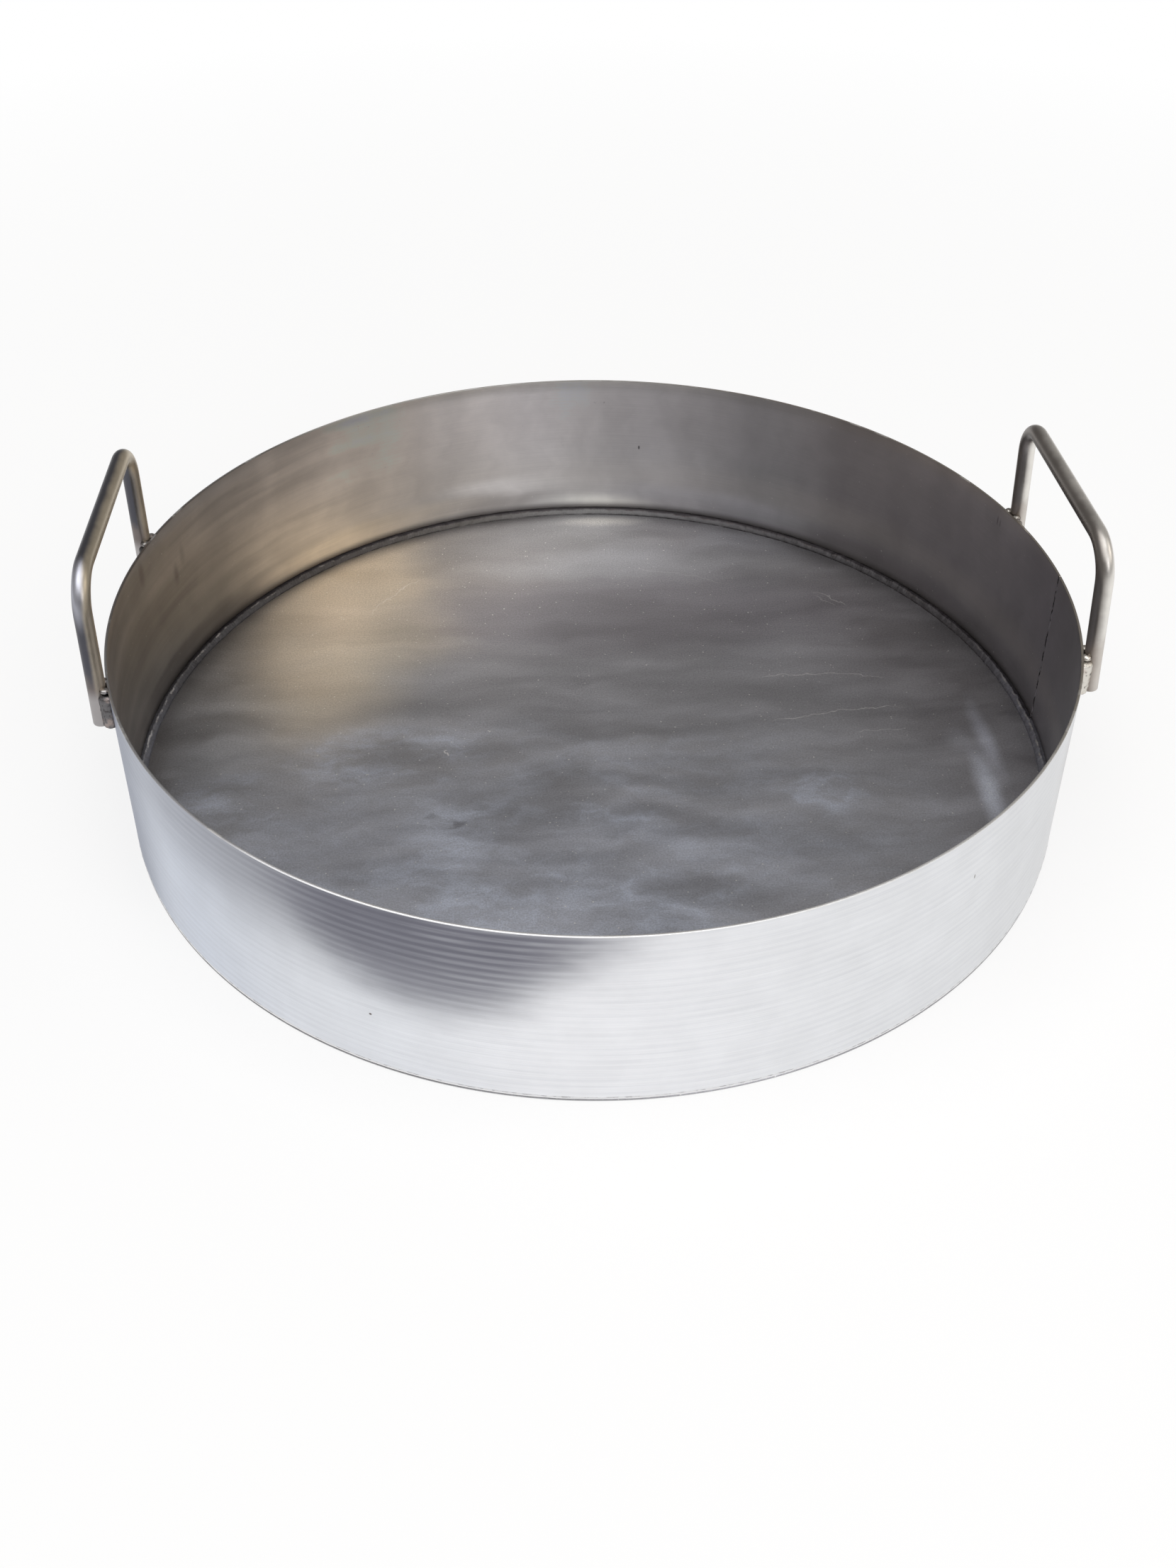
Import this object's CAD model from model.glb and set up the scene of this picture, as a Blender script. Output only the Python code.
import bmesh
import bpy
from math import asin, atan2, cos, degrees, hypot, pi, radians, sin, sqrt, tan
from mathutils import Matrix, Vector


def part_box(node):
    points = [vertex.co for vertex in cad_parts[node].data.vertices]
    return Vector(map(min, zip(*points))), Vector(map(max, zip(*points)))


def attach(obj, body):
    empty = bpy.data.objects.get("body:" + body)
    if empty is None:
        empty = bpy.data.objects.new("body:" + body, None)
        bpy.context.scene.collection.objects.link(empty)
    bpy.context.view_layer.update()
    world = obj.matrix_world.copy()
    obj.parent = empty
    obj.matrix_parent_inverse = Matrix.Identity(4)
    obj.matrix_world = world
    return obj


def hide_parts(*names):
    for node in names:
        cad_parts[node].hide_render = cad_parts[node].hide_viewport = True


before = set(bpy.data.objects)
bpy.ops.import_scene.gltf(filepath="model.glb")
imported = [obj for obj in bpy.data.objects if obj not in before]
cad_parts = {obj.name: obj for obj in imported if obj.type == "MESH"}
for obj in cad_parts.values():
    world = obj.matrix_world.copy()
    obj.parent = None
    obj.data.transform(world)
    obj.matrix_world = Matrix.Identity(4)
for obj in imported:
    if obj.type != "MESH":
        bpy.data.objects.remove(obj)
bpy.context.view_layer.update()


# ---- Camera, floor and lamps -----------------------------------------------------------------------------
# The pan stands on a white paper floor and is seen from in front and above. One wide soft lamp hangs
# overhead, with dimmer ones to the right and in front, in a room that is darker than the floor.

bpy.ops.object.camera_add(
    location=(-0.042933, -0.643168, 0.517087),
    rotation=(radians(54.728), radians(-0.140), radians(-3.478)),
)
camera = bpy.context.object
camera.data.sensor_width = 36
camera.data.lens = 37.55
camera.data.shift_y = -0.0904
bpy.context.scene.camera = camera
bpy.context.scene.view_settings.view_transform = "Standard"

bpy.ops.mesh.primitive_plane_add(size=12)
floor = bpy.context.object
floor.name = "floor"


def add_node(tree, kind, inputs=None, **settings):
    """Adds a node, sets its settings, and fills or links its inputs."""
    node = tree.nodes.new(kind)
    for name, value in settings.items():
        setattr(node, name, value)
    for name, value in (inputs or {}).items():
        if isinstance(value, bpy.types.NodeSocket):
            tree.links.new(value, node.inputs[name])
        else:
            node.inputs[name].default_value = value
    return node


def new_material(name):
    """A material with an empty node tree."""
    material = bpy.data.materials.new(name)
    material.use_nodes = True
    material.node_tree.nodes.clear()
    return material


floor_paper = new_material("floor_paper")
tree = floor_paper.node_tree
ray = add_node(tree, "ShaderNodeLightPath")
seen = add_node(
    tree, "ShaderNodeMath", {0: ray.outputs["Is Camera Ray"], 1: ray.outputs["Is Glossy Ray"]},
    operation="ADD", use_clamp=True,
)
spot = add_node(tree, "ShaderNodeTexCoord").outputs["Object"]
from_pan = add_node(tree, "ShaderNodeVectorMath", {0: spot}, operation="LENGTH").outputs["Value"]
glow_near, glow_far = 0.74, 1.0
clear_of_shade = add_node(
    tree, "ShaderNodeMapRange", {0: from_pan, 1: 0.3, 2: 1.3, 3: glow_near, 4: glow_far}
).outputs[0]
glow_share = add_node(tree, "ShaderNodeMath", {0: seen.outputs[0], 1: clear_of_shade}, operation="MULTIPLY")
paper = add_node(tree, "ShaderNodeBsdfDiffuse", {"Color": (0.9, 0.9, 0.9, 1)})
glow = add_node(tree, "ShaderNodeEmission", {"Color": (1, 1, 1, 1), "Strength": 1.0})
mixed = add_node(
    tree, "ShaderNodeMixShader",
    {0: glow_share.outputs[0], 1: paper.outputs[0], 2: glow.outputs[0]},
)
add_node(tree, "ShaderNodeOutputMaterial", {"Surface": mixed.outputs[0]})
floor.data.materials.append(floor_paper)

world = bpy.data.worlds.new("room")
bpy.context.scene.world = world
world.use_nodes = True
tree = world.node_tree
tree.nodes.clear()
ray = add_node(tree, "ShaderNodeLightPath")
room = add_node(tree, "ShaderNodeBackground", {"Color": (0.30, 0.29, 0.28, 1), "Strength": 1.0})
backdrop = add_node(tree, "ShaderNodeBackground", {"Color": (1, 1, 1, 1), "Strength": 1.0})
mixed = add_node(
    tree, "ShaderNodeMixShader",
    {0: ray.outputs["Is Camera Ray"], 1: room.outputs[0], 2: backdrop.outputs[0]},
)
add_node(tree, "ShaderNodeOutputWorld", {"Surface": mixed.outputs[0]})


def soft_lamp(name, place, target, size, power, colour):
    """A square area lamp that faces its target."""
    bpy.ops.object.light_add(type="AREA", location=place)
    lamp = bpy.context.object
    lamp.name = name
    lamp.data.size = size
    lamp.data.energy = power
    lamp.data.color = colour
    lamp.rotation_euler = (Vector(target) - Vector(place)).to_track_quat("-Z", "Y").to_euler()


soft_lamp("overhead_lamp", (-0.3, -0.5, 2.2), (0, 0, 0), 2.6, 44, (1, 1, 1))
soft_lamp("window_lamp", (1.7, -0.35, 1.15), (0, 0, 0.05), 0.9, 4.6, (1, 0.94, 0.86))
soft_lamp("front_lamp", (0.9, -1.65, 1.15), (0, 0, 0.05), 0.9, 8, (0.98, 0.98, 1))


# ---- Base plate ------------------------------------------------------------------------------------------
# A disc cut from 1.5 mm stainless sheet. Its upper edge is bevelled for the weld that joins it to the wall
# standing on it, and it has pulled a little out of flat. Wiping has left it cloudy.

base_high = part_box("base_plate")[1]
pan_radius = base_high.x
base_thickness = base_high.z
edge_bevel = 0.0012
base_sides = 288
base_rings = 18
base_ring_width = 0.012
wave_size = 0.11
wave_height = 0.0009
still_edge = 0.006
sheet_grey = (0.39, 0.39, 0.415)
stain_blue = (0.63, 0.675, 0.79)
scratch_white = (0.85, 0.84, 0.84)
dust_white = (0.85, 0.85, 0.82)
edge_brown = (0.16, 0.15, 0.15)
underside_greys = (0.50, 0.50, 0.51), (0.56, 0.56, 0.57)


def start_piece(name):
    """Names the primitive just added and opens it for editing, all selected."""
    piece = bpy.context.object
    piece.name = name
    piece.data.name = name
    bpy.ops.object.mode_set(mode="EDIT")
    bpy.ops.mesh.select_all(action="SELECT")
    return piece


def select_where(piece, kind, wanted):
    """Selects the vertices, edges or faces that pass the test."""
    mode = {"VERT": (True, False, False), "EDGE": (False, True, False), "FACE": (False, False, True)}
    bpy.ops.mesh.select_all(action="DESELECT")
    bpy.context.tool_settings.mesh_select_mode = mode[kind]
    mesh = bmesh.from_edit_mesh(piece.data)
    parts = {"VERT": mesh.verts, "EDGE": mesh.edges, "FACE": mesh.faces}[kind]
    for part in parts:
        if wanted(part):
            part.select_set(True)
    mesh.select_flush(True)
    bmesh.update_edit_mesh(piece.data)


def finish_piece(piece, *, stands_for, smooth=30):
    """Closes the editing: merges doubles, turns the faces outwards, smooths, and fixes it to the pan."""
    bpy.ops.object.mode_set(mode="EDIT")
    bpy.ops.mesh.select_all(action="SELECT")
    bpy.ops.mesh.remove_doubles(threshold=0.000002)
    bpy.ops.mesh.normals_make_consistent(inside=False)
    bpy.ops.object.mode_set(mode="OBJECT")
    bpy.ops.object.select_all(action="DESELECT")
    piece.select_set(True)
    bpy.context.view_layer.objects.active = piece
    bpy.ops.object.transform_apply(location=True, rotation=True, scale=True)
    bpy.ops.object.shade_smooth_by_angle(angle=radians(smooth))
    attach(piece, "root")
    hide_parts(*stands_for)


def apply_modifier(piece, kind, **settings):
    """Adds a modifier and applies it."""
    bpy.ops.object.mode_set(mode="OBJECT")
    bpy.ops.object.select_all(action="DESELECT")
    piece.select_set(True)
    bpy.context.view_layer.objects.active = piece
    modifier = piece.modifiers.new(kind.title(), kind)
    for name, value in settings.items():
        setattr(modifier, name, value)
    bpy.ops.object.modifier_apply(modifier=modifier.name)


def vertex_group(piece, name, wanted):
    """A vertex group of the vertices that pass the test."""
    bpy.ops.object.mode_set(mode="OBJECT")
    group = piece.vertex_groups.new(name=name)
    group.add([v.index for v in piece.data.vertices if wanted(v.co)], 1.0, "REPLACE")
    return name


def lumps(name, size):
    """A soft cloud texture that a Displace modifier reads, with lumps of that size."""
    texture = bpy.data.textures.new(name, "CLOUDS")
    texture.noise_scale = size
    return texture


def maths(tree, operation, *values):
    """One sum in a node tree. Values may be numbers or sockets."""
    return add_node(tree, "ShaderNodeMath", dict(enumerate(values)), operation=operation).outputs[0]


def vector_maths(tree, operation, *values):
    """One vector sum in a node tree."""
    return add_node(tree, "ShaderNodeVectorMath", dict(enumerate(values)), operation=operation).outputs


def stretch(tree, place, factors):
    """A place with each of its axes multiplied by a factor."""
    return vector_maths(tree, "MULTIPLY", place, factors)[0]


def split(tree, place):
    """The X, Y and Z of a place."""
    return add_node(tree, "ShaderNodeSeparateXYZ", {0: place}).outputs


def fade(tree, value, start, end, low=0.0, high=1.0):
    """Eases from low to high as the value goes from start to end."""
    return add_node(
        tree, "ShaderNodeMapRange", {0: value, 1: start, 2: end, 3: low, 4: high},
        interpolation_type="SMOOTHSTEP",
    ).outputs[0]


def vary(tree, value, low, high):
    """Spreads a noise value, which hardly leaves 0.3 to 0.7, from low to high."""
    return fade(tree, value, 0.3, 0.7, low, high)


def band(tree, value, start, rise, fall, end):
    """1 where the value is between rise and fall, easing to 0 at start and end."""
    return maths(tree, "MULTIPLY", fade(tree, value, start, rise), fade(tree, value, end, fall))


def mix_colour(tree, share, first, second, blend="MIX"):
    """Lays the second colour over the first."""
    colours = [c if isinstance(c, bpy.types.NodeSocket) else (*c, 1) for c in (first, second)]
    return add_node(
        tree, "ShaderNodeMix", {0: share, 6: colours[0], 7: colours[1]}, data_type="RGBA", blend_type=blend
    ).outputs[2]


def noise(tree, place, scale, detail=3.0, roughness=0.5):
    """A noise value in lumps of about 1 / scale."""
    return add_node(
        tree, "ShaderNodeTexNoise",
        {"Vector": place, "Scale": scale, "Detail": detail, "Roughness": roughness},
    ).outputs[0]


def node_group(name, inputs, outputs):
    """A new node group, with the sockets of its two end nodes."""
    group = bpy.data.node_groups.new(name, "ShaderNodeTree")
    for socket, kind in inputs.items():
        group.interface.new_socket(socket, in_out="INPUT", socket_type=f"NodeSocket{kind}")
    for socket, kind in outputs.items():
        group.interface.new_socket(socket, in_out="OUTPUT", socket_type=f"NodeSocket{kind}")
    return group, group.nodes.new("NodeGroupInput").outputs, group.nodes.new("NodeGroupOutput").inputs


def use_group(tree, group, inputs):
    """Puts a node group into a tree."""
    return add_node(tree, "ShaderNodeGroup", inputs, node_tree=group).outputs


def shade(tree, colour, factor):
    """Lightens or darkens a colour by a factor that changes over the surface."""
    return mix_colour(tree, 1.0, colour, factor, blend="MULTIPLY")


def millimetres(tree):
    """The piece's own coordinates, in millimetres."""
    own = add_node(tree, "ShaderNodeTexCoord").outputs["Object"]
    return stretch(tree, own, (1000, 1000, 1000))


# An oval patch: 1 near its centre, easing to 0 across its reach. A high softness gives a wide edge.
soft_patch, given, result = node_group(
    "soft_patch",
    {"Place": "Vector", "Centre": "Vector", "Reach": "Vector", "Softness": "Float"}, {"Mask": "Float"},
)
offset = vector_maths(soft_patch, "SUBTRACT", given["Place"], given["Centre"])[0]
distance = vector_maths(soft_patch, "LENGTH", vector_maths(soft_patch, "DIVIDE", offset, given["Reach"])[0])
outer_edge = maths(soft_patch, "ADD", 1.0, given["Softness"])
inner_edge = maths(soft_patch, "SUBTRACT", 1.0, given["Softness"])
soft_patch.links.new(fade(soft_patch, distance[1], outer_edge, inner_edge), result["Mask"])

# A place shaken to and fro by noise, so that what is painted there gets a ragged edge.
ruffled, given, result = node_group(
    "ruffled", {"Place": "Vector", "Scale": "Float", "Amount": "Vector"}, {"Place": "Vector"},
)
waver = add_node(
    ruffled, "ShaderNodeTexNoise", {"Vector": given["Place"], "Scale": given["Scale"], "Detail": 4.0}
).outputs[1]
centred = vector_maths(ruffled, "SUBTRACT", waver, (0.5, 0.5, 0.5))[0]
shift = stretch(ruffled, centred, given["Amount"])
ruffled.links.new(vector_maths(ruffled, "ADD", given["Place"], shift)[0], result["Place"])

# A thin bowed scratch that fades out at both of its ends.
scratch_line, given, result = node_group(
    "scratch_line",
    {"Place": "Vector", "Centre": "Vector", "Angle": "Float", "Length": "Float", "Bow": "Float"},
    {"Mask": "Float"},
)
offset = vector_maths(scratch_line, "SUBTRACT", given["Place"], given["Centre"])[0]
against = maths(scratch_line, "MULTIPLY", given["Angle"], -1.0)
along = add_node(
    scratch_line, "ShaderNodeVectorRotate", {"Vector": offset, "Angle": against}, rotation_type="Z_AXIS"
).outputs[0]
parts = split(scratch_line, along)
arc = maths(scratch_line, "MULTIPLY", maths(scratch_line, "MULTIPLY", parts[0], parts[0]), given["Bow"])
shake = vary(scratch_line, noise(scratch_line, given["Place"], 0.12), -1.2, 1.2)
aside = maths(scratch_line, "ABSOLUTE", maths(
    scratch_line, "ADD", maths(scratch_line, "ADD", parts[1], arc), shake
))
inner_length = maths(scratch_line, "MULTIPLY", given["Length"], 0.6)
ends = fade(scratch_line, maths(scratch_line, "ABSOLUTE", parts[0]), given["Length"], inner_length)
scratch_line.links.new(
    maths(scratch_line, "MULTIPLY", fade(scratch_line, aside, 0.4, 0.1), ends), result["Mask"]
)

# Specks of dust of uneven size, about one to each square of the spacing.
dust, given, result = node_group("dust", {"Place": "Vector", "Spacing": "Float"}, {"Mask": "Float"})
specks = add_node(dust, "ShaderNodeTexVoronoi", {
    "Vector": vector_maths(dust, "DIVIDE", given["Place"], given["Spacing"])[0], "Scale": 1.0,
}).outputs
speck_size = fade(dust, noise(dust, given["Place"], 0.2), 0.35, 0.7, 0.05, 0.5)
speck_edge = maths(dust, "DIVIDE", speck_size, given["Spacing"])
dust.links.new(maths(dust, "LESS_THAN", specks["Distance"], speck_edge), result["Mask"])


def paint_patches(tree, place, colour, patches):
    """Lays soft patches over a ground colour in turn: centre, reach, softness, strength, colour."""
    for centre, reach, softness, strength, tint in patches:
        mask = use_group(
            tree, soft_patch,
            {"Place": place, "Centre": (*centre, 0), "Reach": (*reach, 1e6), "Softness": softness},
        )["Mask"]
        colour = mix_colour(tree, maths(tree, "MULTIPLY", mask, strength), colour, tint)
    return colour


def bump(tree, height, strength, distance):
    """A bump of that distance in millimetres."""
    return add_node(
        tree, "ShaderNodeBump", {"Height": height, "Strength": strength, "Distance": distance / 1000}
    ).outputs[0]


def metal_surface(tree, colour, roughness, normal):
    """The bare metal surface of a material."""
    surface = add_node(
        tree, "ShaderNodeBsdfPrincipled",
        {"Base Color": colour, "Roughness": roughness, "Metallic": 1.0, "Normal": normal},
    )
    add_node(tree, "ShaderNodeOutputMaterial", {"Surface": surface.outputs[0]})


base_metal = new_material("cloudy_base_sheet")
tree = base_metal.node_tree
place = millimetres(tree)
flat = stretch(tree, place, (1, 1, 0))
wavering = use_group(tree, ruffled, {"Place": flat, "Scale": 0.02, "Amount": (34, 30, 0)})["Place"]
colour = paint_patches(tree, wavering, sheet_grey, [
    ((-150, 80), (48, 76), 0.6, 0.95, (0.585, 0.535, 0.465)),
    ((-118, 150), (50, 44), 0.6, 0.95, (0.67, 0.60, 0.51)),
    ((-46, 164), (40, 46), 0.7, 0.9, (0.30, 0.285, 0.28)),
    ((-98, 100), (30, 28), 0.7, 0.6, (0.74, 0.66, 0.55)),
    ((-20, 190), (60, 30), 0.7, 0.6, (0.38, 0.38, 0.395)),
    ((24, 162), (60, 10), 0.9, 0.55, (0.52, 0.53, 0.56)),
    ((12, 194), (34, 13), 0.9, 0.6, (0.51, 0.51, 0.53)),
    ((56, 200), (26, 14), 0.7, 0.6, (0.36, 0.35, 0.36)),
    ((-192, 0), (26, 70), 0.8, 0.6, (0.44, 0.455, 0.49)),
    ((195, 110), (50, 120), 0.5, 0.5, (0.31, 0.30, 0.31)),
    ((120, 150), (50, 22), 0.6, 0.4, (0.42, 0.42, 0.44)),
    ((30, 112), (130, 36), 0.6, 0.85, (0.27, 0.26, 0.28)),
    ((-60, -105), (150, 62), 0.6, 0.5, (0.44, 0.46, 0.53)),
])
wiping = noise(tree, stretch(tree, wavering, (0.010, 0.045, 1)), 1.0, detail=4)
colour = shade(tree, colour, vary(tree, wiping, 0.91, 1.08))
swaying = use_group(tree, ruffled, {"Place": flat, "Scale": 0.04, "Amount": (7, 7, 0)})["Place"]
colour = paint_patches(tree, swaying, colour, [
    ((197, -14), (4, 24), 0.9, 0.8, (0.70, 0.73, 0.82)),
    ((189, -52), (4.5, 24), 0.9, 0.95, (0.84, 0.89, 1.0)),
    ((184, -12), (5, 8), 0.9, 0.4, (0.60, 0.62, 0.68)),
    ((18, 211), (20, 4), 0.8, 0.6, (0.80, 0.78, 0.75)),
])
frayed = use_group(tree, ruffled, {"Place": flat, "Scale": 0.07, "Amount": (24, 13, 0)})["Place"]
swirled = stretch(tree, frayed, (0.55, 1.0, 1.0))
wisps = maths(
    tree, "MULTIPLY", fade(tree, noise(tree, swirled, 0.03, detail=5, roughness=0.6), 0.36, 0.62),
    fade(tree, noise(tree, swirled, 0.13, detail=8, roughness=0.75), 0.30, 0.66, 0.35, 1.15),
)
stains = paint_patches(tree, frayed, (0.0, 0.0, 0.0), [
    ((-40, -80), (180, 80), 0.6, 0.45, (1, 1, 1)),
    ((-100, -8), (42, 20), 0.4, 0.75, (1, 1, 1)),
    ((-182, -40), (24, 24), 0.4, 0.70, (1, 1, 1)),
    ((-28, -57), (54, 10), 0.35, 0.75, (1, 1, 1)),
    ((19, -58), (8, 6), 0.4, 0.85, (1, 1, 1)),
    ((-60, -92), (46, 24), 0.4, 0.80, (1, 1, 1)),
    ((36, -108), (32, 13), 0.25, 0.95, (1, 1, 1)),
    ((112, -48), (18, 12), 0.4, 0.85, (1, 1, 1)),
    ((-22, -140), (80, 26), 0.5, 0.6, (1, 1, 1)),
])
stained = shade(tree, stains, wisps)
colour = mix_colour(tree, stained, colour, stain_blue)
colour = paint_patches(tree, frayed, colour, [
    ((-70, -60), (3, 3.5), 0.5, 0.6, (0.20, 0.20, 0.22)),
    ((-80, -53), (5, 2), 0.5, 0.4, (0.22, 0.22, 0.24)),
])
grain = noise(tree, flat, 1.1, detail=4, roughness=0.7)
drawn_out = stretch(tree, wavering, (0.3, 1.0, 1.0))
mottle = noise(tree, drawn_out, 0.045, detail=6, roughness=0.55)
colour = shade(tree, colour, vary(tree, grain, 0.82, 1.14))
colour = shade(tree, colour, vary(tree, mottle, 0.965, 1.035))
for centre, angle, length, bow, strength in (
    ((124, 49), -0.05, 38, 0.004, 0.5), ((126, 16), 0.13, 40, 0.002, 0.55), ((147, -1), 0.05, 15, 0, 0.4),
    ((143, 120), -0.75, 13, 0.006, 0.4), ((139, 117), -0.8, 9, 0, 0.3), ((-106, 136), 0.9, 26, 0.006, 0.35),
    ((-74, -7), 1.75, 3, 0, 0.8), ((60, 150), -0.35, 30, 0.004, 0.2),
):
    score = use_group(
        tree, scratch_line,
        {"Place": flat, "Centre": (*centre, 0), "Angle": angle, "Length": length, "Bow": bow},
    )["Mask"]
    colour = mix_colour(tree, maths(tree, "MULTIPLY", score, strength), colour, scratch_white)
dusty = use_group(tree, dust, {"Place": flat, "Spacing": 3.6})["Mask"]
colour = mix_colour(tree, maths(tree, "MULTIPLY", dusty, 0.6), colour, dust_white)
radius = vector_maths(tree, "LENGTH", flat)[1]
parts = split(tree, place)
edge_shade = maths(
    tree, "MULTIPLY", fade(tree, radius, 207, 222), fade(tree, parts[0], 40, -140, 0.12, 0.5)
)
colour = mix_colour(tree, edge_shade, colour, edge_brown)
underside = mix_colour(tree, fade(tree, mottle, 0.3, 0.7), *underside_greys)
colour = mix_colour(tree, fade(tree, parts[2], 0.2, 0.5), underside, colour)
roughness = vary(tree, mottle, 0.34, 0.46)
metal_surface(tree, colour, roughness, bump(tree, grain, 0.25, 0.05))

bpy.ops.object.select_all(action="DESELECT")
bpy.ops.mesh.primitive_circle_add(vertices=base_sides, radius=pan_radius, fill_type="NGON")
base = start_piece("base_disc")
bpy.ops.mesh.extrude_region_move(TRANSFORM_OT_translate={"value": (0, 0, base_thickness)})
select_where(base, "EDGE", lambda e: all(v.co.z > base_thickness / 2 for v in e.verts))
bpy.ops.mesh.bevel(offset=edge_bevel, offset_type="WIDTH", segments=1)
bpy.ops.object.mode_set(mode="OBJECT")
top_z = max(v.co.z for v in base.data.vertices)
bpy.ops.object.mode_set(mode="EDIT")
select_where(
    base, "FACE",
    lambda f: f.normal.z * (f.calc_center_median().z - base_thickness / 3) > 0 and len(f.verts) > 4,
)
for _ in range(base_rings):
    bpy.ops.mesh.inset(thickness=base_ring_width)
bpy.ops.mesh.poke()
upper = vertex_group(
    base, "upper_face",
    lambda co: co.z > top_z - 1e-5 and hypot(co.x, co.y) < pan_radius - still_edge,
)
apply_modifier(
    base, "DISPLACE", texture=lumps("base_waves", wave_size), vertex_group=upper,
    direction="Z", mid_level=0.5, strength=wave_height,
)
base.data.materials.append(base_metal)
finish_piece(base, stands_for=["base_plate"])


# ---- Wall ------------------------------------------------------------------------------------------------
# A strip of 1.2 mm stainless sheet, rolled to a hoop. The rolls have left shallow level ripples all round
# its outside. Its ends meet between the legs of the right handle, where an upright weld closes it, and its
# rim is eased by hand.

wall_low, wall_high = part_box("wall_band")
rim_z = wall_high.z
wall_foot_z = wall_low.z
sheet_thickness = 0.0012
seam_angle = radians(0.3)
seam_opening = 0.001
ripple_count = 24
ripple_depth = 0.00014
rim_ease = 0.0003
wall_steps = 360
wall_height = rim_z - wall_foot_z
smoke_grey = (0.145, 0.145, 0.18)
ripple_grey = (0.56, 0.58, 0.63)
low_brown = (0.10, 0.09, 0.09)
foot_brown = (0.10, 0.09, 0.085)
glow_tan = (0.86, 0.79, 0.70)
wall_dust = (0.75, 0.73, 0.70)
worn_rim = (0.80, 0.79, 0.77)

# Where a place lies on the round pan. Turn goes from 0 to 1 and the angle from 0 to 360, from the right
# handle by way of the back, the left handle and the front. Radius and height are in millimetres.
around_pan, given, result = node_group(
    "around_pan", {"Place": "Vector"},
    {"Angle And Height": "Vector", "Turn": "Float", "Radius": "Float", "Height": "Float"},
)
parts = split(around_pan, given["Place"])
bearing = maths(around_pan, "MULTIPLY", maths(around_pan, "ARCTAN2", parts[1], parts[0]), degrees(1))
bearing = maths(around_pan, "FLOORED_MODULO", bearing, 360.0)
spread = add_node(around_pan, "ShaderNodeCombineXYZ", {0: bearing, 1: parts[2]}).outputs[0]
laid_flat = stretch(around_pan, given["Place"], (1, 1, 0))
around_pan.links.new(spread, result["Angle And Height"])
around_pan.links.new(maths(around_pan, "DIVIDE", bearing, 360.0), result["Turn"])
around_pan.links.new(vector_maths(around_pan, "LENGTH", laid_flat)[1], result["Radius"])
around_pan.links.new(parts[2], result["Height"])


def ring_of_colours(tree, turn, stops):
    """A colour that changes round the pan: degrees from the right handle, then the colour there."""
    stops = [*stops, (360, stops[0][1])]
    node = add_node(tree, "ShaderNodeValToRGB", {0: turn})
    ramp = node.color_ramp
    ramp.interpolation = "EASE"
    while len(ramp.elements) < len(stops):
        ramp.elements.new(0.5)
    for element, (angle, colour) in zip(ramp.elements, stops):
        element.position = angle / 360
        element.color = (*colour, 1)
    return node.outputs[0]


wall_metal = new_material("rolled_wall_sheet")
tree = wall_metal.node_tree
place = millimetres(tree)
around = use_group(tree, around_pan, {"Place": place})
spread = around["Angle And Height"]
wavering = use_group(tree, ruffled, {"Place": spread, "Scale": 0.09, "Amount": (6, 7, 0)})["Place"]
outside_colour = ring_of_colours(tree, around["Turn"], [
    (0, (0.72, 0.71, 0.69)), (90, (0.72, 0.72, 0.73)), (180, (0.49, 0.52, 0.59)), (200, (0.28, 0.31, 0.39)),
    (215, (0.65, 0.69, 0.77)), (240, (0.78, 0.80, 0.84)), (265, (0.87, 0.875, 0.90)),
    (300, (0.81, 0.82, 0.84)), (325, (0.775, 0.785, 0.80)), (345, (0.745, 0.745, 0.75)),
])
smoky = use_group(tree, ruffled, {"Place": spread, "Scale": 0.12, "Amount": (6, 9, 0)})["Place"]
clear_share = 1.0
for centre, reach, softness, strength in (
    ((250, 96), (18, 33), 0.6, 0.9), ((250, 80), (12, 38), 0.6, 0.8), ((235, 97), (27, 40), 0.9, 0.62),
):
    mask = use_group(tree, soft_patch, {
        "Place": smoky, "Centre": (*centre, 0), "Reach": (*reach, 1e6), "Softness": softness,
    })["Mask"]
    clear_share = maths(tree, "MULTIPLY", clear_share, fade(tree, mask, 0, 1, 1, 1 - strength))
smoke = maths(tree, "SUBTRACT", 1.0, clear_share)
ripple_turns = 2 * pi * ripple_count / (1000 * wall_height)
ripple_lines = maths(tree, "SINE", maths(tree, "MULTIPLY", around["Height"], ripple_turns))
broken = noise(tree, stretch(tree, spread, (0.12, 0.4, 1)), 1.0, detail=3)
ripple_share = maths(
    tree, "MULTIPLY", fade(tree, ripple_lines, -1.0, 1.0), fade(tree, broken, 0.25, 0.75, 0.2, 1)
)
lit_ripples = maths(tree, "MULTIPLY", ripple_share, fade(tree, around["Turn"], 0.68, 0.71, 0.02, 0.2))
smoke_share = maths(tree, "MULTIPLY", smoke, maths(tree, "SUBTRACT", 0.97, lit_ripples))
outside_colour = mix_colour(tree, smoke_share, outside_colour, smoke_grey)
ripple_paint = maths(tree, "MULTIPLY", ripple_share, fade(tree, around["Turn"], 0.60, 0.68, 0.3, 0.16))
outside_colour = mix_colour(tree, ripple_paint, outside_colour, ripple_grey)
outside_colour = paint_patches(tree, spread, outside_colour, [
    ((243.6, 29.8), (0.15, 0.5), 0.3, 0.85, (0.12, 0.09, 0.08)),
    ((308.8, 65), (0.12, 1.1), 0.3, 0.7, (0.25, 0.22, 0.2)),
    ((335, 62), (4, 16), 0.8, 0.25, (0.45, 0.44, 0.44)),
])
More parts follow.
